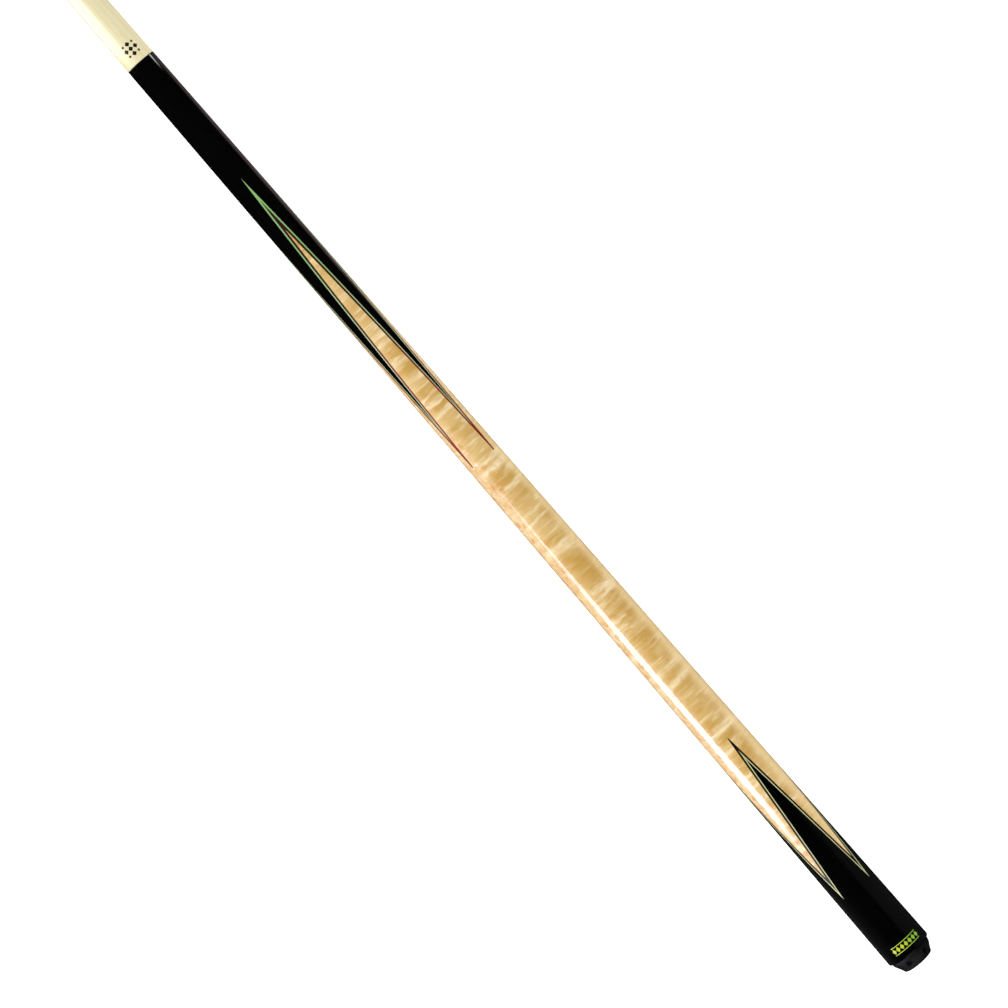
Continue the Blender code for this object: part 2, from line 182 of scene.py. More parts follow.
def eased(corners, radius, steps=3):
    """Rounds each inner corner of a profile, using less than half of each side."""
    out = [corners[0]]
    for before, corner, after in zip(corners, corners[1:], corners[2:]):
        c = Vector(corner)
        one, two = Vector(before) - c, Vector(after) - c
        cut = min(radius, one.length / 2.01, two.length / 2.01)
        start, end = c + one.normalized() * cut, c + two.normalized() * cut
        for i in range(steps + 1):
            t = i / steps
            p = start * (1 - t) ** 2 + c * 2 * t * (1 - t) + end * t ** 2
            out.append((p.x, p.y))
    out.append(corners[-1])
    return out


# Spliced surfaces

def fore_edge(tip, valley, s):
    """A layer's edge round a forearm point: a V that rises evenly out of the wood."""
    share = max((valley - s) / (valley - tip), 0.0) * butt_radius(tip) / butt_radius(s)
    return math.acos(min(share, 1.0) / ROOT2) - QUARTER / 2


def sleeve_edge(tip, valley, s):
    """A layer's edge round a sleeve point, which looks straight from above."""
    share = min(max((s - tip) / (valley - tip), 0.0), 1.0)
    share *= butt_radius(valley) / butt_radius(min(s, valley))
    return math.asin(min(share, 1.0) / ROOT2)


# A splice's layers, from the outermost veneer to the point's core, run from tips to valleys
Splice = namedtuple("Splice", "edge turn tips valleys")
FORE = Splice(fore_edge, math.radians(-1.4), (93.7 * MM, 111.2 * MM, 135.2 * MM),
              (288.5 * MM, 301.0 * MM, 333.5 * MM))
SLEEVE = Splice(sleeve_edge, math.radians(3.7), (547.4 * MM, 560.4 * MM, 566.4 * MM),
                (657.4 * MM, 669.2 * MM, 674.6 * MM))
FORE_END = 320.9 * MM                           # where the dark veneers' tails are cut off
SLEEVE_TIP = SLEEVE.tips[0] + (SLEEVE.valleys[0] - SLEEVE.tips[0]) * BLUNT * ROOT2 / BUTT_R


def edge_angle(splice, layer, s):
    """Where a layer's edge lies on the surface, as an angle from the middle of its point."""
    if splice is FORE and layer == 2 and s > FORE_END:
        return QUARTER / 2
    if splice is SLEEVE and layer == 0 and s <= SLEEVE_TIP:
        return 0.0
    return splice.edge(splice.tips[layer], splice.valleys[layer], s)


def tip_station(splice, layer):
    """Where a layer begins. The sleeve's outermost tips are blunt, so they begin later."""
    return SLEEVE_TIP if splice is SLEEVE and layer == 0 else splice.tips[layer]


def stations(front, back, keep=()):
    """Evenly spaced stations, and those that must be met exactly."""
    count = max(2, math.ceil((back - front) / ROW))
    even = [front + (back - front) * i / count for i in range(count + 1)]
    blunt = (FORE_END, FORE_END + STEP, SLEEVE_TIP, SLEEVE_TIP + STEP)
    kept = sorted(k for k in {*keep, *blunt} if front < k < back)
    return sorted([e for e in even if all(abs(e - k) > ROW / 4 for k in kept)] + kept)


def around(x, radius, angle):
    """A point of the cue's skin; angle 0 is +Z and it grows towards -Y."""
    return (x, -radius * math.sin(angle), radius * math.cos(angle))


def skin(bm, rows, turn, low, high, points=range(POINTS)):
    """The outer surface between two edge angles, mirrored on both sides of each point.

    rows are (x, radius, s); turn, low and high give an angle for a station."""
    for k in points:
        for side in (-1, 1):
            grid = []
            for x, radius, s in rows:
                middle = turn(s) + k * QUARTER
                a, b = low(s), high(s)
                grid.append([around(x, radius, middle + side * (a + (b - a) * j / COLUMNS))
                             for j in range(COLUMNS + 1)])
            add_grid(bm, grid)


def walls(bm, splice, layer, run, points=range(POINTS)):
    """The faces of a layer's V, from the surface down to its bottom, 45 degrees steep."""
    for k in points:
        middle = splice.turn + k * QUARTER
        for side in (-1, 1):
            grid = []
            for s in run:
                radius, angle = butt_radius(s), edge_angle(splice, layer, s)
                edge = Vector(around(-s, radius, middle + side * angle))
                depth = max(ROOT2 * radius * math.cos(angle + math.pi / 4), 0.0)
                bottom = Vector(around(-s, depth, middle))
                grid.append([edge.lerp(bottom, j / WALL_ROWS) for j in range(WALL_ROWS + 1)])
            add_grid(bm, grid)


def on_taper(run):
    """Rows for skin(), one to each station of the run."""
    return [(-s, butt_radius(s), s) for s in run]


def between_points(_):
    return QUARTER / 2


def point_middle(_):
    return 0.0


def make_forearm(material):
    splice = FORE
    tip, end = tip_station(splice, 0), splice.valleys[0]
    depth = PIN + 0.8 * MM
    front = eased([(0.0, BORE), (0.0, JOINT_R), (-2 * EASE, butt_radius(2 * EASE))], EASE)
    run = stations(3 * EASE, end, (tip,))
    bm = bmesh.new()
    rows = [(x, r, 0.0) for x, r in [(-depth, 0.0), (-depth, BORE)] + front] + on_taper(run)
    skin(bm, rows, lambda s: splice.turn, lambda s: edge_angle(splice, 0, s), between_points)
    walls(bm, splice, 0, [s for s in run if s >= tip])
    return finish_mesh("forearm_wood", bm, material, "butt", ["forearm"])


def make_veneers(name, splice, outer, inner, material, node):
    """The veneers between the edges of two layers, one round each point."""
    tip, inner_tip = tip_station(splice, outer), tip_station(splice, inner)
    end = FORE_END + STEP if splice is FORE and inner == 2 else splice.valleys[inner]
    run = stations(tip, end, (inner_tip, splice.valleys[outer]))
    for k in range(POINTS):
        bm = bmesh.new()
        skin(bm, on_taper(run), lambda s: splice.turn, lambda s: edge_angle(splice, inner, s),
             lambda s: edge_angle(splice, outer, s), [k])
        walls(bm, splice, outer, run, [k])
        walls(bm, splice, inner, run, [k])
        finish_mesh(f"{name}_{k + 1}", bm, material, "butt", [f"{node}_{k + 1}"])


def make_handle(material):
    front, valley = tip_station(FORE, 2), FORE_END + STEP
    groove, back = SLEEVE_TIP, SLEEVE.valleys[0]

    def turn(s):                                # from the forearm's points to the sleeve's
        share = min(max((s - valley) / (groove - valley), 0.0), 1.0)
        return FORE.turn + (SLEEVE.turn - FORE.turn) * share

    bm = bmesh.new()
    run = stations(front, back)
    skin(bm, on_taper(run), turn, lambda s: edge_angle(SLEEVE, 0, s),
         lambda s: edge_angle(FORE, 2, s))
    walls(bm, FORE, 2, [s for s in run if s <= valley])
    walls(bm, SLEEVE, 0, [s for s in run if s >= groove])
    return finish_mesh("handle_wood", bm, material, "butt", ["handle"])


def make_sleeve(material):
    splice = SLEEVE
    front, valley = tip_station(splice, 2), splice.valleys[2]
    bottom, chamfer = WEIGHT[1] + 0.6 * MM, 0.3 * MM
    run = stations(front, WOOD - 2 * RIM, (valley,))
    rim = eased([(-WOOD + 2 * RIM, butt_radius(WOOD - 2 * RIM)), (-WOOD, BUTT_R),
                 (-WOOD, BORE + chamfer)], RIM, 8)
    end = rim[1:] + [(-WOOD + chamfer, BORE), (bottom, BORE), (bottom, 0.0)]
    bm = bmesh.new()
    rows = on_taper(run) + [(x, r, WOOD) for x, r in end]
    skin(bm, rows, lambda s: splice.turn, point_middle, lambda s: edge_angle(splice, 2, s))
    walls(bm, splice, 2, [s for s in run if s <= valley])
    return finish_mesh("sleeve_wood", bm, material, "butt", ["butt_sleeve"])


# Threads

def add_ridge(bm, pitch, first, last, base, top, half_top, shift=0.0, steps=48, rise=0.6):
    """A helical ridge, right-handed about +X, which rises from nothing and runs out again.

    first and last are places along the axis; shift moves the ridge by a part of the pitch.
    A turn takes so many steps, and the ridge rises within that part of a turn."""
    turns = (last - first) / pitch
    count = round(turns * steps)
    rows = []
    for i in range(count + 1):
        x = first + (last - first) * i / count
        angle = TURN * (x / pitch - shift)
        fade = min(1.0, i / (steps * rise), (count - i) / (steps * rise))
        peak = base + (top - base) * fade
        row = []
        for radius, side in ((base, -1), (peak, -1), (peak, 1), (base, 1)):
            half = half_top + abs(top - radius) * TAN_FLANK
            row.append((x + side * half, radius * math.cos(angle), radius * math.sin(angle)))
        rows.append(row)
    add_grid(bm, rows, closed=True)


def hexagon(across):
    """A bend that draws a round socket out to a hexagon."""
    def bend(x, radius, angle):
        return x, across / 2 / math.cos((angle + math.pi / 6) % (math.pi / 3) - math.pi / 6)
    return bend


def add_socket(bm, x, across, outer, depth, outline):
    """An end face towards the bumper with a hexagonal socket; outline ends the body's side."""
    bend, chamfer, cone, sides = hexagon(across), 0.12 * MM, 0.6 * MM, 48

    def mouth(x, radius, angle):
        return x, bend(x, radius, angle)[1] + chamfer

    rows = [ring(px, pr, sides) for px, pr in outline]
    rows += [ring(x, outer, sides), ring(x, across, sides, mouth)]
    rows += [ring(x + chamfer, across, sides, bend), ring(x + depth, across, sides, bend)]
    rows += [ring(x + depth + cone, 0.0, sides)]
    add_grid(bm, rows, closed=True)


def make_pin(material):
    core, shank, chamfer = 2.86 * MM, 3.92 * MM, 0.7 * MM
    shoulder, ease, end_ease = 0.4 * MM, 0.1 * MM, 0.3 * MM
    grooves, first, pitch = 4, 3.0 * MM, 5.2 * MM           # they hold the glue
    width, depth = 2.6 * MM, 0.6 * MM
    bm = bmesh.new()
    profile = [(PIN, 0.0), (PIN, core - chamfer), (PIN - chamfer, core), (-shoulder, core),
               (-shoulder, shank - ease), (-shoulder - ease, shank)]
    for k in range(grooves):
        start = -first - pitch * k
        profile += [(start, shank), (start - depth, shank - depth),
                    (start - width + depth, shank - depth), (start - width, shank)]
    profile += [(-PIN + end_ease, shank), (-PIN, shank - end_ease), (-PIN, 0.0)]
    revolve(bm, profile, 48)
    add_ridge(bm, JOINT_PITCH, 1.2 * MM, PIN - 1.4 * MM, core - SUNK, MAJOR, CREST)
    return finish_mesh("joint_pin_steel", bm, material, "butt", ["joint_pin"], 25)


def make_insert(material):
    low, high, outer = INSERT
    bore, crest, fit = 4.15 * MM, 3.25 * MM, 0.16 * MM
    ease, lead, sunk, plain = 0.2 * MM, 0.35 * MM, 0.05 * MM, 1.3 * MM
    bm = bmesh.new()
    profile = eased([(high, bore), (high, outer), (low, outer), (low, bore)], ease)
    revolve(bm, profile + [(low + lead, bore - sunk), profile[0]], 72)
    half = (JOINT_PITCH - 2 * (CREST + (MAJOR - crest) * TAN_FLANK)) / 2 - fit / COS_FLANK
    add_ridge(bm, JOINT_PITCH, low + plain, high - plain, bore + sunk, crest, half, 0.5)
    return finish_mesh("insert_brass", bm, material, "shaft_half", ["shaft_insert"], 25)


def make_weight(material):
    low, high = WEIGHT
    core, chamfer, plain = END_CORE, 0.6 * MM, 1.5 * MM
    across, socket_depth = 4.0 * MM, 4.0 * MM
    bm = bmesh.new()
    outline = [(high, 0.0), (high, core - chamfer), (high - chamfer, core),
               (low + chamfer, core), (low, core - 0.5 * MM)]
    add_socket(bm, low, across, core - 0.55 * MM, socket_depth, outline)
    add_ridge(bm, END_PITCH, low + plain, high - plain, core - SUNK, MAJOR, CREST)
    return finish_mesh("weight_bolt_steel", bm, material, "weight_bolt", ["weight_bolt"],
                       25)


def make_end_screw(material):
    low, high, head = SCREW
    core, chamfer, head_height = END_CORE, 0.6 * MM, 4.2 * MM
    across, socket_depth = 4.8 * MM, 2.7 * MM
    seat = low + head_height
    bm = bmesh.new()
    dome = [(seat, core), (seat, head), (seat - 0.8 * MM, head), (seat - 2.6 * MM, 0.88 * head),
            (low, 0.60 * head)]
    outline = [(high, 0.0), (high, core - chamfer), (high - chamfer, core)]
    outline += eased(dome, 0.8 * MM, 5)
    add_socket(bm, low, across, 0.58 * head, socket_depth, outline)
    add_ridge(bm, END_PITCH, seat + 1.6 * MM, high - 1.5 * MM, core - SUNK, MAJOR, CREST)
    return finish_mesh("bumper_screw_steel", bm, material, "bumper_screw", ["bumper_screw"],
                       25)


# Bumper

def make_bumper(material):
    face = extent("bumper")[1]
    seat, well, hole = -WOOD - 4.4 * MM, 7.6 * MM, MAJOR + 0.3 * MM
    waist, chamfer = 13.9 * MM, 0.3 * MM
    side = ((13.9, 1.8), (13.4, 3.7), (12.6, 5.2), (11.2, 7.6), (10.8, 8.9))
    share, turn = TURN / 6, math.radians(6.5)               # of the six dimples
    dimple_x, dimple_r, dimple_depth, slope = -WOOD - 4.8 * MM, 2.3 * MM, 2.0 * MM, 0.7 * MM
    outline = [(face, hole), (face, waist - chamfer), (face - chamfer, waist)]
    outline += [(-WOOD - beyond * MM, radius * MM) for radius, beyond in side]
    outline += [(-BUTT, 10.4 * MM), (-BUTT, well), (seat, well), (seat, hole), (face, hole)]
    profile = finely(eased(outline, 0.5 * MM, 4), 0.30 * MM)

    def bend(x, radius, angle):
        if radius < 10.6 * MM or x > -WOOD - 3.0 * MM:      # inside, or by the wood
            return x, radius
        near = (angle - turn + share / 2) % share - share / 2
        away = math.hypot((x - dimple_x), near * radius)
        hollow = min(max((dimple_r - away) / slope, 0.0), 1.0)
        hollow = hollow * hollow * (3 - 2 * hollow)
        return x + 0.4 * dimple_depth * hollow, radius - dimple_depth * hollow

    bm = bmesh.new()
    revolve(bm, profile, 288, bend)
    return finish_mesh("bumper_rubber", bm, material, "bumper", ["bumper"], 40)


# Shaft half

def make_shaft(material):
    face, shoulder = GAP, FERRULE[0] - GAP
    socket, relief = INSERT[2] + GAP, MAJOR + 0.3 * MM
    pocket, depth = INSERT[1] + GAP, PIN + 1.6 * MM
    thin = shoulder - PRO_TAPER
    side = [(TENON, 0.0), (TENON, TENON_R), (shoulder, TENON_R)]
    side += finely(eased([(shoulder, TIP_R - EASE), (shoulder, TIP_R), (thin, TIP_R + EASE),
                          (face, JOINT_R), (face, socket)], EASE), 12 * MM)
    bm = bmesh.new()
    revolve(bm, side + [(pocket, socket), (pocket, relief), (depth, relief), (depth, 0.0)], 112)
    return finish_mesh("shaft_wood", bm, material, "shaft_half", ["shaft"])


def make_ferrule(material):
    low, high = FERRULE
    hole, hole_end = TENON_R + GAP, TENON + GAP
    bm = bmesh.new()
    side = finely(eased([(high, 0.0), (high, TIP_R), (low, TIP_R), (low, hole)], 0.12 * MM),
                  2 * MM)
    revolve(bm, side + [(hole_end, hole), (hole_end, 0.0)], 96)
    return finish_mesh("ferrule_resin", bm, material, "shaft_half", ["ferrule"])


def make_pad(material):
    low, high = PAD
    bm = bmesh.new()
    revolve(bm, eased([(high, 0.0), (high, TIP_R), (low, TIP_R), (low, 0.0)], 0.1 * MM), 96)
    return finish_mesh("tip_pad_fibre", bm, material, "shaft_carrier", ["tip_pad"])


def make_tip(material):
    low, high = TIP
    dome, steps, ease, swell = low + 2.2 * MM, 24, 0.5 * MM, 0.05 * MM
    arc = [TURN / 4 * k / steps for k in range(steps + 1)]
    profile = [(dome + (high - dome) * math.cos(a), TIP_R * math.sin(a)) for a in arc]
    profile += [(dome - ease, TIP_R + swell), (low + ease, TIP_R + swell),
                (low, TIP_R - 0.1 * MM), (low, 0.0)]

    def bend(x, radius, angle):                 # hand-trimmed, so not quite round
        ripple = math.sin(7 * angle) * math.sin(11 * angle + x / MM) * 0.02 * MM
        return x, max(radius + ripple * (radius / TIP_R) ** 2, 0.0)

    bm = bmesh.new()
    revolve(bm, finely(profile, 0.35 * MM), 96, bend)
    return finish_mesh("tip_leather", bm, material, "shaft_half", ["tip"], 50)


# Inlays: plain geometric patterns, sunk a little into the wood

def add_lozenge(bm, x, y, length, width, radius, square=False):
    """A thin tile that follows the skin; y is measured round the skin from the top.

    A square one keeps its full length from edge to edge."""
    proud, deep, count = 0.02 * MM, 0.12 * MM, max(8, math.ceil(width / (0.8 * MM)))
    sheets = []
    for level in (proud, -deep):
        rows = []
        for i in range(count + 1):
            across = (2 * i / count - 1) * width / 2
            half = length / 2 if square else length / 2 * (1 - abs(2 * i / count - 1))
            row = []
            for j in range(5):
                px = x + half * (j / 2 - 1)
                r = radius(px) + level
                angle = (y + across) / radius(px)
                row.append((px, r * math.sin(angle), r * math.cos(angle)))
            rows.append(row)
        sheets.append(rows)
    top, bottom = sheets
    add_grid(bm, top)
    add_grid(bm, bottom)
    for edge in (0, -1):
        add_grid(bm, [[row[edge] for row in top], [row[edge] for row in bottom]])
        add_grid(bm, [top[edge], bottom[edge]])


def make_shaft_inlay(material):
    """Nine lozenges in a square, smaller at its corners."""
    bm = bmesh.new()
    middle, aside, pitch = 9.4 * MM, -0.7 * MM, 3.5 * MM
    large, small, taper_length = 3.3 * MM, 1.9 * MM, 404.0 * MM

    def radius(x):
        return JOINT_R - (JOINT_R - TIP_R - EASE) * (x - GAP) / taper_length

    for i in (-1, 0, 1):
        for j in (-1, 0, 1):
            size = large if i == 0 or j == 0 else small
            add_lozenge(bm, middle + i * pitch, aside + j * pitch, size, size, radius)
    return finish_mesh("shaft_inlay", bm, material, "shaft_half")


def make_sleeve_inlay(material):
    """A row of lozenges between two thin bars."""
    bm = bmesh.new()
    middle, aside, pitch = -(WOOD - 7.2 * MM), -1.3 * MM, 3.1 * MM
    length, width, bar, bar_at = 3.9 * MM, 2.7 * MM, 0.5 * MM, 2.6 * MM

    def radius(x):
        return butt_radius(-x)

    for j in range(-3, 4):
        add_lozenge(bm, middle, aside + j * pitch, length, width, radius)
    for side in (-1, 1):
        add_lozenge(bm, middle + side * bar_at, aside, bar, 6.6 * pitch, radius, square=True)
    return finish_mesh("sleeve_inlay", bm, material, "butt")


# Materials

class Paint:
    """A material and short calls for its nodes. Places are object coordinates, in metres.

    Sizes of grain are given in millimetres, along the cue and across it."""

    def __init__(self, name, **sockets):
        self.material = bpy.data.materials.new(name)
        self.material.use_nodes = True
        self.tree = self.material.node_tree
        self.shader = self.tree.nodes["Principled BSDF"]
        self.place = self.tree.nodes.new("ShaderNodeTexCoord").outputs["Object"]
        for socket, value in sockets.items():
            self.put(socket.replace("_", " "), value)

    def feed(self, socket, value):
        if isinstance(value, bpy.types.NodeSocket):
            self.tree.links.new(value, socket)
        elif isinstance(value, tuple) and socket.type == "RGBA":
            socket.default_value = (*value, 1.0)
        else:
            socket.default_value = value

    def put(self, name, value):
        self.feed(self.shader.inputs[name], value)

    def node(self, kind, inputs, **settings):
        made = self.tree.nodes.new("ShaderNode" + kind)
        for key, value in settings.items():
            setattr(made, key, value)
        for key, value in inputs.items():
            self.feed(made.inputs[key], value)
        return made

    def sized(self, along, across, shift=0.0):
        """The place, measured in lengths of so many millimetres along and across the cue."""
        scale = (1 / (along * MM), 1 / (across * MM), 1 / (across * MM))
        return self.node("Mapping", {"Vector": self.place, "Location": (shift, shift, shift),
                                     "Scale": scale}).outputs[0]

    def noise(self, along, across, shift=0.0, detail=3.0, rough=0.5, warp=0.0):
        """Noise from 0 to 1, in grains of that size. shift takes another part of it."""
        return self.node("TexNoise", {"Vector": self.sized(along, across, shift), "Scale": 1.0,
                                      "Detail": detail, "Roughness": rough,
                                      "Distortion": warp}).outputs["Fac"]

    def calc(self, operation, a, b=0.0):
        return self.node("Math", {0: a, 1: b}, operation=operation).outputs[0]

    def part(self, value, low, high, to_low=0.0, to_high=1.0):
        """An eased step from to_low to to_high, while value goes from low to high."""
        return self.node("MapRange", {"Value": value, "From Min": low, "From Max": high,
                                      "To Min": to_low, "To Max": to_high},
                         interpolation_type="SMOOTHSTEP").outputs["Result"]

    def times(self, a, b):
        return self.calc("MULTIPLY", a, b)

    def mix(self, share, a, b, blend="MIX"):
        """Colour a, with that share of colour b."""
        made = self.tree.nodes.new("ShaderNodeMix")
        made.data_type = "RGBA"
        made.blend_type = blend
        for key, value in ((0, share), (6, a), (7, b)):
            self.feed(made.inputs[key], value)
        return made.outputs[2]

    def ramp(self, value, stops):
        """A level that runs through the stops, each a place from 0 to 1 and its level."""
        made = self.tree.nodes.new("ShaderNodeValToRGB")
        ends = made.color_ramp.elements
        while len(ends) < len(stops):
            ends.new(0.5)
        for end, (at, level) in zip(ends, stops):
            end.position = at
            end.color = (level, level, level, 1.0)
        self.feed(made.inputs[0], value)
        return made.outputs[0]

    def bump(self, height, depth, strength=1.0):
        """Relief of a height from 0 to 1, depth millimetres deep."""
        return self.node("Bump", {"Height": height, "Distance": depth * MM,
                                  "Strength": strength}).outputs[0]

    def axis(self, name):
        """One coordinate of the place, in metres."""
        return self.node("SeparateXYZ", {0: self.place}).outputs[name]


LACQUER = {"Coat_Weight": 1.0, "Coat_Roughness": 0.03, "Coat_IOR": 1.5}


def black_wood(name, dark, brown):
    """Dyed black wood with a trace of grain, under clear gloss lacquer."""
    p = Paint(name, Specular_IOR_Level=0.0, **LACQUER)
    grain = p.noise(45, 0.7, detail=5.0, rough=0.62)
    pores = p.part(p.noise(6, 0.22, 3.0, detail=2.0), 0.60, 0.74)
    tone = p.mix(p.part(grain, 0.35, 0.75), dark, brown)
    p.put("Base Color", p.mix(pores, tone, tuple(c * 0.35 for c in dark)))
    p.put("Roughness", p.part(grain, 0.3, 0.7, 0.35, 0.5))
    p.put("Normal", p.bump(pores, 0.01, 0.4))
    p.put("Coat Normal", p.bump(p.noise(9, 5, 8.0, detail=1.0), 0.012, 0.5))
    return p.material


def veneer(name, colour, deep, front=None, change=(270, 200)):
    """Dyed veneer: fine straight grain and uneven dye.

    Between the stations of change, in millimetres, the dye turns to that of the front."""
    p = Paint(name, Specular_IOR_Level=0.3, **LACQUER)
    grain = p.noise(16, 0.16, detail=4.0, rough=0.6)
    blotch = p.noise(9, 3, 5.0, detail=2.0)
    tone = p.mix(p.part(grain, 0.38, 0.68), colour, deep)
    tone = p.mix(p.part(blotch, 0.3, 0.8, 0.0, 0.35), tone,
                 tuple(min(c * 1.5, 1.0) for c in colour))
    if front:
        changed = p.part(p.axis("X"), -change[0] * MM, -change[1] * MM, 0.0, 0.9)
        tone = p.mix(changed, tone, front)
    p.put("Base Color", tone)
    p.put("Roughness", p.part(grain, 0.3, 0.7, 0.35, 0.5))
    p.put("Normal", p.bump(grain, 0.01, 0.3))
    return p.material


# Curly figure of the handle: station and half width in mm, and strength, of its bands
BRIGHT_BANDS = ((189.5, 3.0, 0.5), (242.5, 3.5, 0.8), (329.0, 4.2, 1.0), (344.5, 2.2, 0.9),
                (395.3, 2.4, 0.6), (428.0, 3.4, 1.0), (443.2, 2.0, 0.6), (493.8, 2.2, 0.95),
                (503.0, 2.6, 1.0), (545.0, 3.6, 1.0))
DARK_BANDS = ((353.0, 10.0, 0.9), (405.4, 4.0, 0.5), (416.8, 4.5, 0.8), (448.0, 4.5, 0.9),
              (498.2, 3.0, 0.6), (507.5, 4.5, 0.8), (539.5, 4.0, 0.7))
EYE_BANDS = ((339.0, 22.0, 1.0), (392.0, 7.0, 0.8), (449.0, 10.0, 0.9), (486.0, 6.0, 0.8))
FIGURE_START, FIGURE_LENGTH = 110.0 * MM, 560.0 * MM


def band_stops(bands):
    """The bands as stops along the handle, each a peak between two zeros."""
    stops = [(0.0, 0.0)]
    for at, half, level in bands:
        centre = (at * MM - FIGURE_START) / FIGURE_LENGTH
        width = half * MM / FIGURE_LENGTH
        stops += [(centre - width, 0.0), (centre, level), (centre + width, 0.0)]
    return stops + [(1.0, 0.0)]


def curly_maple():
    """Stained curly maple with a cross figure, patches and bird's eyes, under gloss lacquer."""
    tan, honey, pale = (0.68, 0.455, 0.165), (0.56, 0.315, 0.055), (0.96, 0.80, 0.50)
    fibre_brown, ring_brown, orange = (0.40, 0.20, 0.06), (0.62, 0.25, 0.035), (0.86, 0.46, 0.17)
    rosy_tint_and_painted_sheen, golden_tint_and_painted_light, milky = (0.84, 0.61, 0.38), (0.90, 0.68, 0.34), (1.0, 0.86, 0.62)
    p = Paint("curly_maple_lacquered", Specular_IOR_Level=0.3, **LACQUER)
    aside = p.axis("Y")
    wander = p.calc("ADD", p.times(p.noise(9, 8, detail=3.0), 3 * MM),
                    p.times(p.noise(60, 20, 4.0, detail=1.0), 6 * MM))
    station = p.calc("SUBTRACT", p.calc("SUBTRACT", 5.0 * MM, p.axis("X")), wander)
    along = p.calc("DIVIDE", p.calc("SUBTRACT", station, FIGURE_START), FIGURE_LENGTH)
    curl = p.noise(1.7, 20, 9.0, detail=3.0, warp=0.15)
    ripple = p.noise(5.2, 26, 6.0, detail=3.0, rough=0.6, warp=0.15)
    patches = p.noise(13, 24, 12.0, detail=3.0)
    fibre = p.noise(11, 0.35, 1.0, detail=4.0, rough=0.65)
    mottle = p.noise(3.2, 1.9, 17.0, detail=3.0, rough=0.6, warp=0.6)

    # The bands, broken up and fainter towards one side
    breaks = p.part(p.noise(9, 6, 9.0, detail=2.0), 0.28, 0.50, 0.35, 1.0)
    bright = p.times(p.ramp(along, band_stops(BRIGHT_BANDS)),
                     p.times(breaks, p.part(aside, 4 * MM, 11 * MM, 1.0, 0.35)))
    bright = p.times(bright, p.part(curl, 0.30, 0.62, 0.45, 1.0))
    dark = p.times(p.ramp(along, band_stops(DARK_BANDS)),
                   p.part(p.noise(10, 8, 2.0, detail=2.0), 0.20, 0.5, 0.3, 1.0))
    dark = p.times(dark, p.part(aside, 2 * MM, 9 * MM, 0.9, 0.25))

    tone = p.mix(p.part(patches, 0.42, 0.60, 0.0, 0.80), tan, honey)
    tone = p.mix(p.part(ripple, 0.50, 0.70, 0.0, 0.75), tone, pale)
    tone = p.mix(p.part(curl, 0.54, 0.72, 0.0, 0.40), tone, pale)
    tone = p.mix(p.part(ripple, 0.46, 0.28, 0.0, 0.45), tone, honey)
    tone = p.mix(dark, tone, honey)
    tone = p.mix(bright, tone, pale)
    tone = p.mix(p.part(fibre, 0.52, 0.72, 0.0, 0.12), tone, fibre_brown)

    # Both sides of the handle are paler, and the +Y side is mottled. The paler, pinker +Y side is
    # partly the wood's own tone and partly a painted sheen of the light from that side
    tone = p.mix(p.part(aside, 1 * MM, 13 * MM, 0.0, 0.42), tone, rosy_tint_and_painted_sheen)
    # The paler, golden -Y edge is partly the wood's own tone and partly painted light falling on
    # that side
    tone = p.mix(p.part(aside, -6 * MM, -12 * MM, 0.0, 0.7), tone, golden_tint_and_painted_light)
    mottled = p.part(aside, 3 * MM, 12 * MM)
    tone = p.mix(p.times(p.part(mottle, 0.50, 0.66, 0.0, 0.55), mottled), tone, orange)
    tone = p.mix(p.times(p.part(mottle, 0.48, 0.34, 0.0, 0.60), mottled), tone, milky)

    # Bird's eyes: rings round some of the cells, in swarms and in clusters at set stations
    warp = p.node("TexNoise", {"Vector": p.sized(1.8, 1.8, 4.0), "Scale": 1.0}).outputs["Color"]
    eyes = p.node("TexVoronoi", {"Vector": p.mix(0.35, p.sized(6.4, 5.2), warp, "ADD"),
                                 "Scale": 1.0}, feature="F1")
    chosen = p.part(p.node("SeparateColor", {0: eyes.outputs["Color"]}).outputs[0], 0.14, 0.20)
    swarm = p.times(p.part(p.noise(26, 11, 21.0, detail=2.0), 0.42, 0.56),
                    p.part(aside, 0.0, 9 * MM, 0.10, 1.0))
    cluster = p.times(p.ramp(along, band_stops(EYE_BANDS)), p.part(aside, 0.5 * MM, 3 * MM))
    where = p.times(chosen, p.calc("MAXIMUM", swarm, cluster))
    rings = p.ramp(eyes.outputs["Distance"], ((0.0, 0.7), (0.10, 0.2), (0.20, 1.0),
                                              (0.28, 0.45), (0.46, 0.0)))
    p.put("Base Color", p.mix(p.times(rings, where), tone, ring_brown))
    p.put("Roughness", p.part(ripple, 0.3, 0.7, 0.5, 0.34))
    p.put("Normal", p.bump(p.calc("ADD", ripple, p.times(fibre, 0.4)), 0.05, 0.35))
    p.put("Coat Normal", p.bump(p.noise(10, 6, 8.0, detail=1.0), 0.008, 0.5))
    return p.material


def shaft_maple():
    """Pale straight-grained maple, sanded and sealed."""
    p = Paint("shaft_maple_satin", Specular_IOR_Level=0.5, Coat_Weight=0.5,
              Coat_Roughness=0.16)
    grain = p.noise(70, 1.1, detail=4.0, rough=0.6)
    flecks = p.part(p.noise(3.0, 0.28, 7.0, detail=2.0), 0.62, 0.74)
    wide = p.noise(120, 5, 2.0, detail=1.0)
    tone = p.mix(p.part(grain, 0.40, 0.70), (0.80, 0.73, 0.45), (0.72, 0.63, 0.35))
    tone = p.mix(p.part(wide, 0.35, 0.7, 0.0, 0.4), tone, (0.85, 0.77, 0.51))
    p.put("Base Color", p.mix(p.times(flecks, 0.35), tone, (0.52, 0.37, 0.18)))
    p.put("Roughness", p.part(grain, 0.3, 0.7, 0.28, 0.40))
    p.put("Normal", p.bump(p.calc("ADD", grain, flecks), 0.01, 0.4))
    return p.material


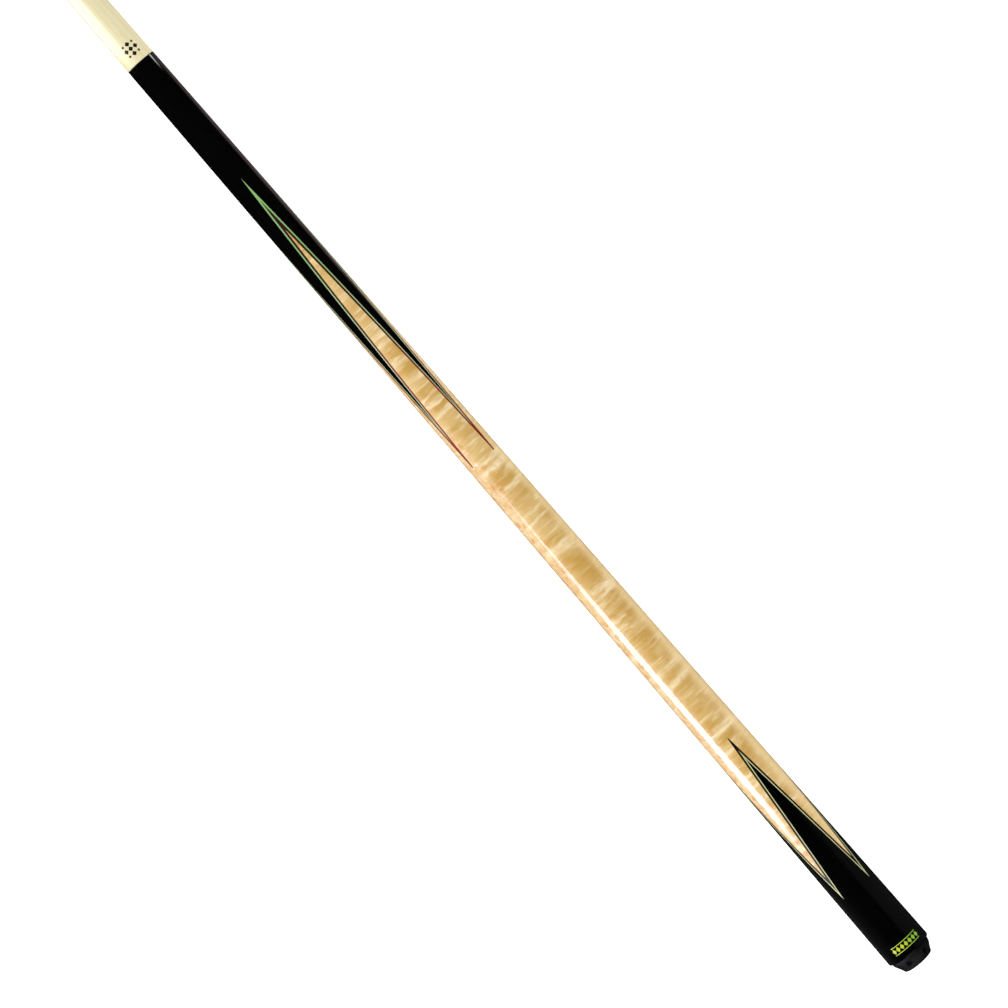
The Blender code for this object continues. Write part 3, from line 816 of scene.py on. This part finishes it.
def inlay(name, colour, aside=None):
    """Clouded inlay, whose colour may change towards the -Y side."""
    p = Paint(name, Specular_IOR_Level=0.4, **LACQUER)
    cloud = p.noise(1.2, 0.9, detail=3.0)
    tone = p.mix(p.part(cloud, 0.3, 0.7), colour, tuple(c * 0.72 for c in colour))
    if aside:
        tone = p.mix(p.part(p.axis("Y"), 5 * MM, -10 * MM), tone, aside)
    p.put("Base Color", tone)
    p.put("Roughness", p.part(cloud, 0.3, 0.7, 0.3, 0.42))
    p.put("Normal", p.bump(cloud, 0.006, 0.4))
    return p.material


def rubber():
    """Matte moulded rubber: fine grain, and a dusty bloom in patches."""
    p = Paint("rubber_black", Specular_IOR_Level=0.35)
    fine = p.noise(0.35, 0.35, detail=3.0, rough=0.7)
    bloom = p.noise(4, 4, 3.0, detail=4.0)
    tone = p.mix(p.part(fine, 0.35, 0.7), (0.0025, 0.0025, 0.0025), (0.0048, 0.0048, 0.0050))
    p.put("Base Color", p.mix(p.part(bloom, 0.45, 0.8, 0.0, 0.5), tone, (0.0095, 0.0095, 0.0098)))
    p.put("Roughness", p.part(bloom, 0.3, 0.75, 0.52, 0.74))
    p.put("Normal", p.bump(fine, 0.03, 0.6))
    return p.material


def metal(name, colour, dull, low):
    """Turned metal: fine rings round the axis, smears, and dull patches."""
    p = Paint(name, Metallic=1.0)
    rings = p.noise(0.10, 6, detail=2.0)
    smear = p.noise(3, 2.2, 5.0, detail=4.0)
    p.put("Base Color", p.mix(p.part(smear, 0.4, 0.75, 0.0, 0.7), colour, dull))
    p.put("Roughness", p.part(smear, 0.3, 0.75, low, low + 0.22))
    p.put("Normal", p.bump(rings, 0.012, 0.5))
    return p.material


def ferrule_resin():
    """Off-white resin with lines from the lathe, and a trace of chalk by the tip."""
    p = Paint("ferrule_resin", Specular_IOR_Level=0.5, Subsurface_Weight=0.15,
              Subsurface_Scale=0.6 * MM)
    cloud = p.noise(7, 4, detail=4.0)
    lines = p.noise(0.18, 9, 4.0, detail=2.0)
    tone = p.mix(p.part(cloud, 0.35, 0.7), (0.84, 0.82, 0.74), (0.78, 0.745, 0.64))
    chalk = p.part(p.axis("X"), FERRULE[1] - 7 * MM, FERRULE[1])
    chalk = p.times(chalk, p.part(p.noise(1.2, 1.2, 6.0, detail=4.0), 0.45, 0.7))
    p.put("Base Color", p.mix(p.times(chalk, 0.45), tone, (0.28, 0.44, 0.62)))
    p.put("Roughness", p.part(lines, 0.3, 0.7, 0.22, 0.36))
    p.put("Normal", p.bump(lines, 0.006, 0.4))
    return p.material


def fibre_pad():
    """Black fibre in thin pressed layers."""
    p = Paint("fibre_pad", Specular_IOR_Level=0.3)
    layers = p.noise(0.16, 5, detail=3.0)
    p.put("Base Color", p.mix(p.part(layers, 0.35, 0.65), (0.016, 0.015, 0.014),
                              (0.05, 0.045, 0.04)))
    p.put("Roughness", p.part(layers, 0.3, 0.7, 0.5, 0.7))
    p.put("Normal", p.bump(layers, 0.03, 0.6))
    return p.material


def tip_leather():
    """Pressed leather: brown burnished side, and a scuffed dome with chalk on it."""
    p = Paint("tip_leather", Specular_IOR_Level=0.3)
    pits = p.noise(0.45, 0.45, detail=5.0, rough=0.7)
    layers = p.noise(0.30, 7, 2.0, detail=3.0)
    tone = p.mix(p.part(layers, 0.35, 0.65), (0.20, 0.105, 0.045), (0.10, 0.05, 0.022))
    dome = p.part(p.axis("X"), TIP[0] + 2.0 * MM, TIP[1] - 1.2 * MM)
    chalk = p.times(dome, p.part(pits, 0.35, 0.62))
    p.put("Base Color", p.mix(p.times(chalk, 0.8), tone, (0.10, 0.24, 0.42)))
    p.put("Roughness", p.part(pits, 0.3, 0.7, 0.55, 0.9))
    p.put("Normal", p.bump(pits, 0.10, 0.7))
    return p.material


ebony = black_wood("ebony_lacquered", (0.0010, 0.0009, 0.0009), (0.0024, 0.0019, 0.0017))
sleeve_black = black_wood("sleeve_black_lacquered", (0.0006, 0.0006, 0.0006),
                          (0.0014, 0.0013, 0.0013))
green = veneer("veneer_green", (0.46, 0.57, 0.32), (0.34, 0.45, 0.23), (0.21, 0.45, 0.14),
               (235, 150))
dark_red = veneer("veneer_dark_red", (0.24, 0.016, 0.008), (0.14, 0.010, 0.005),
                  (0.020, 0.0030, 0.0018))
dark_brown = veneer("veneer_dark_brown", (0.012, 0.003, 0.002), (0.006, 0.002, 0.0015))
cream = veneer("veneer_cream", (0.56, 0.58, 0.29), (0.42, 0.43, 0.20))
maple = curly_maple()
steel = metal("steel_turned", (0.62, 0.62, 0.64), (0.42, 0.42, 0.43), 0.20)
brass = metal("brass_turned", (0.74, 0.56, 0.26), (0.52, 0.36, 0.15), 0.24)

make_forearm(ebony)
make_veneers("veneer_green", FORE, 0, 1, green, "fore_veneer_green")
make_veneers("veneer_dark", FORE, 1, 2, dark_red, "fore_veneer_dark")
make_handle(maple)
make_veneers("veneer_dark_sleeve", SLEEVE, 0, 1, dark_brown,
             "sleeve_veneer_dark")
make_veneers("veneer_cream_sleeve", SLEEVE, 1, 2, cream, "sleeve_veneer_light")
make_sleeve(sleeve_black)
make_pin(steel)
make_insert(brass)
make_weight(steel)
make_end_screw(steel)
make_bumper(rubber())
make_shaft(shaft_maple())
make_ferrule(ferrule_resin())
make_pad(fibre_pad())
make_tip(tip_leather())
make_shaft_inlay(inlay("inlay_black", (0.010, 0.010, 0.010)))
make_sleeve_inlay(inlay("inlay_lime", (0.60, 0.70, 0.04), (0.22, 0.46, 0.03)))


# Floor, lights and camera

def on_cue_line(x, y, z):
    """A place on the cue line's axes, in the world."""
    return CUE @ Vector((x, y, z))


def make_floor():
    half, glow = 20.0, 0.72
    bm = bmesh.new()
    add_grid(bm, [[(x * half, y * half, 0.0) for x in (-1, 0, 1)] for y in (-1, 0, 1)])
    mesh = bpy.data.meshes.new("floor")
    bmesh.ops.recalc_face_normals(bm, faces=bm.faces)
    bm.to_mesh(mesh)
    bm.free()
    floor = bpy.data.objects.new("floor", mesh)
    bpy.context.scene.collection.objects.link(floor)
    p = Paint("floor_white", Roughness=0.9, Specular_IOR_Level=0.0, Emission_Strength=glow,
              Emission_Color=(1.0, 1.0, 1.0))
    p.put("Base Color", p.mix(p.noise(300, 300, detail=2.0), (0.86, 0.86, 0.86),
                              (0.80, 0.80, 0.80)))
    mesh.materials.append(p.material)
    floor.visible_glossy = False


def make_world(level):
    world = bpy.data.worlds.new("studio")
    world.use_nodes = True
    back = world.node_tree.nodes["Background"]
    back.inputs["Color"].default_value = (1.0, 1.0, 1.0, 1.0)
    back.inputs["Strength"].default_value = level
    bpy.context.scene.world = world
    world.cycles_visibility.glossy = False


def light_math(tree, operation, *values):
    made = tree.nodes.new("ShaderNodeMath")
    made.operation = operation
    for socket, value in zip(made.inputs, values):
        if isinstance(value, bpy.types.NodeSocket):
            tree.links.new(value, socket)
        else:
            socket.default_value = value
    return made.outputs[0]


def add_fades(lamp, fades):
    """Darkens a box towards its edges.

    Each fade is (weight of u, weight of v, dark, full): the box's glow grows between those
    values of the weighted sum, where u runs along the cue to the tip, and v up the box on the
    -Y side and down it on the +Y side."""
    lamp.use_nodes = True
    tree = lamp.node_tree
    spot = tree.nodes.new("ShaderNodeSeparateXYZ")
    tree.links.new(tree.nodes.new("ShaderNodeNewGeometry").outputs["Parametric"], spot.inputs[0])
    strength = None
    for weight_u, weight_v, dark, full in fades:
        share = light_math(tree, "MULTIPLY_ADD", spot.outputs[0], weight_u,
                           light_math(tree, "MULTIPLY", spot.outputs[1], weight_v))
        step = tree.nodes.new("ShaderNodeMapRange")
        step.interpolation_type = "SMOOTHSTEP"
        tree.links.new(share, step.inputs["Value"])
        step.inputs["From Min"].default_value = dark
        step.inputs["From Max"].default_value = full
        level = step.outputs["Result"]
        strength = light_math(tree, "MULTIPLY", level, strength) if strength else level
    tree.links.new(strength, tree.nodes["Emission"].inputs["Strength"])


def area_light(name, at, towards, size, radiance, colour=(1.0, 1.0, 1.0), glossy=True,
               diffuse=False, fades=()):
    """A softbox that aims at a place on the cue. size is its length along the cue and its
    height. Most of them only show in the lacquer."""
    lamp = bpy.data.lights.new(name, "AREA")
    lamp.shape = "RECTANGLE"
    lamp.size, lamp.size_y = size
    lamp.energy = radiance * math.pi * size[0] * size[1]
    lamp.color = colour
    if fades:
        add_fades(lamp, fades)
    box = bpy.data.objects.new(name, lamp)
    bpy.context.scene.collection.objects.link(box)
    place, aim = on_cue_line(*at), on_cue_line(*towards)
    back = (place - aim).normalized()
    up = back.cross(ALONG).normalized()
    side = up.cross(back).normalized()
    turn = Matrix((side, up, back)).transposed().to_4x4()
    turn.translation = place
    box.matrix_world = turn
    box.visible_camera = False
    box.visible_glossy = glossy
    box.visible_diffuse = diffuse


make_floor()
make_world(0.95)
area_light("key", (-0.35, 1.3, 1.15), (-0.35, 0.0, 0.0), (2.4, 0.8), 2.0, glossy=False,
           diffuse=True)
area_light("handle_strip", (-0.585, 1.0, 0.30), (-0.585, 0.0, 0.30), (0.45, 0.70), 14.0,
           (0.84, 0.80, 1.0),
           fades=((1, 0, 0.0, 0.13), (-1, -0.43, -1.0, -0.88), (-1, 0, -1.2, -0.45)))
area_light("shaft_strip", (0.444, 1.0, 0.15), (0.444, 0.0, 0.15), (0.756, 2.1), 7.0,
           (0.94, 0.94, 1.0), fades=((1, 0.13, 0.078, 0.088), (1, -0.07, -0.039, -0.030)))
area_light("joint_spark", (0.0605, -1.0, -0.02), (0.0605, 0.0, 0.0), (0.019, 0.25), 8.0,
           (0.88, 1.0, 0.98), fades=((1, 0, 0.0, 0.8),))
area_light("edge_card", (-0.13, -0.10, -0.07), (-0.13, 0.0, 0.0), (0.30, 0.10), 0.50,
           (1.0, 0.74, 0.76), fades=((-1, 0, -1.9, -0.3),))
area_light("sleeve_card", (-1.01, -1.0, 0.4), (-1.01, 0.0, 0.4), (0.78, 3.8), 0.075,
           fades=((0, 1, -0.2, 0.5), (0, -1, -1.0, -0.6)))
area_light("sleeve_rim_card", (-1.01, 1.0, 0.0), (-1.01, 0.0, 0.0), (0.78, 3.0), 0.07,
           fades=((0, 1, 0.0, 0.8),))
area_light("bumper_card", (-1.10, 1.0, 0.1), (-1.10, 0.0, 0.1), (0.26, 1.2), 1.0)
area_light("end_card", (-1.90, 0.1, 0.3), (-0.74, 0.0, 0.0), (0.9, 0.8), 1.2)


# The camera looks down on the butt from beside the joint
CAMERA_AT = (-0.161, 0.0089, 2.690)
CAMERA_AIM = (-0.3510, 0.0089, 0.0)
CAMERA_LENS, CAMERA_SENSOR = 155.895, 36.0
BUTT_GOES = (0.6544, -0.7561)                   # the butt's direction, right and up in the picture

camera = bpy.data.objects.new("camera", bpy.data.cameras.new("camera"))
bpy.context.scene.collection.objects.link(camera)
camera.data.sensor_width = CAMERA_SENSOR
camera.data.lens = CAMERA_LENS
eye, aim = on_cue_line(*CAMERA_AT), on_cue_line(*CAMERA_AIM)
back = (eye - aim).normalized()
to_butt = (-ALONG + back * ALONG.dot(back)).normalized()
beside = back.cross(to_butt)
right = (to_butt * BUTT_GOES[0] - beside * BUTT_GOES[1]).normalized()
up = back.cross(right)
pose = Matrix((right, up, back)).transposed().to_4x4()
pose.translation = eye
camera.matrix_world = pose
bpy.context.scene.camera = camera
bpy.context.scene.view_settings.view_transform = "Standard"
